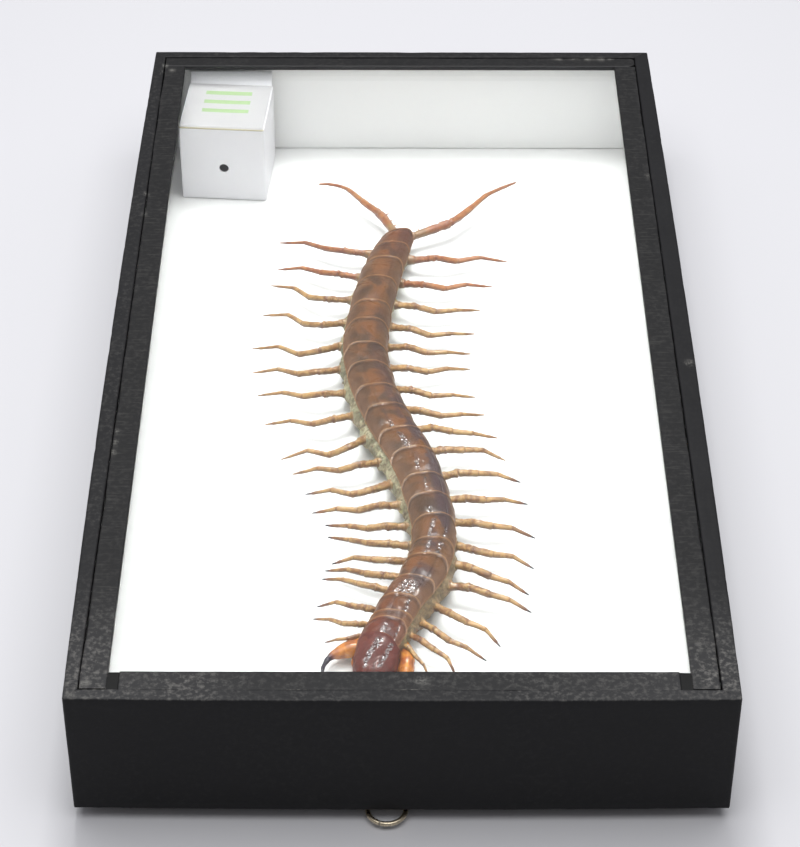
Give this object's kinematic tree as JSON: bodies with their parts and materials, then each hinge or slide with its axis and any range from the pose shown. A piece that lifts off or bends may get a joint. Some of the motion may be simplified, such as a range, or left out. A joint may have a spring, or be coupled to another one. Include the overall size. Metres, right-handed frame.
{
  "type": "framed centipede",
  "caption": "Shallow black display box with a glass front and white card lining that holds a dried centipede and a small card box of moth repellent, with a hanging ring on the back.",
  "frame": {"origin": "middle of the whole object's bounding box at its lowest level, with the box lying on its back", "axes": "+Z out of the glass, +Y along the box from the hanger's end to its lower end, +X to the right for someone who looks from the hanger's end towards the lower end"},
  "size_m": [0.1522, 0.2844, 0.0386],
  "materials": {
    "black_wrap": "black grained paper glued round thin wooden boards, matt with a faint sheen, worn in places",
    "black_strip": "black paper over card strips, matt",
    "hardboard": "brown hardboard, fine mesh texture",
    "white_card": "smooth white card, matt",
    "white_liner": "white card, matt",
    "clear_glass": "clear float glass",
    "box_card": "folded white box card, slightly satin",
    "cuticle": "dried horn-like back plates, maroon brown, amber legs, wet-looking gloss",
    "head_shield": "dark red brown horn, glossy",
    "claw": "orange horn with black points, glossy",
    "feeler": "tan horn in many short joints, satin",
    "plated_steel": "plated sheet steel",
    "ring_metal": "bright brass-plated wire"
  },
  "bodies": {
    "display_box": {"wall_near": "black_wrap", "wall_far": "black_wrap", "wall_left": "black_wrap", "wall_right": "black_wrap", "strip_near": "black_strip", "strip_far": "black_strip", "strip_left": "black_strip", "strip_right": "black_strip", "back_board": "hardboard", "backing_card": "white_card", "liner_near": "white_liner", "liner_far": "white_liner", "liner_left": "white_liner", "liner_right": "white_liner", "glass_pane": "clear_glass", "repellent_box": "box_card", "centipede_trunk": "cuticle", "centipede_head": "head_shield", "forcipule_left": "claw", "forcipule_right": "claw", "antenna_left": "feeler", "antenna_right": "feeler", "hanger_strap": "plated_steel", "hanger_screw": "plated_steel"},
    "ring": {"hanger_ring": "ring_metal"}
  },
  "joints": [
    {"name": "ring_hinge", "type": "hinge", "parent": "display_box", "child": "ring", "pos_m": [-0.0035, -0.1328, 0.0016], "axis": [1, 0, 0], "range_deg": [0, 150]}
  ]
}
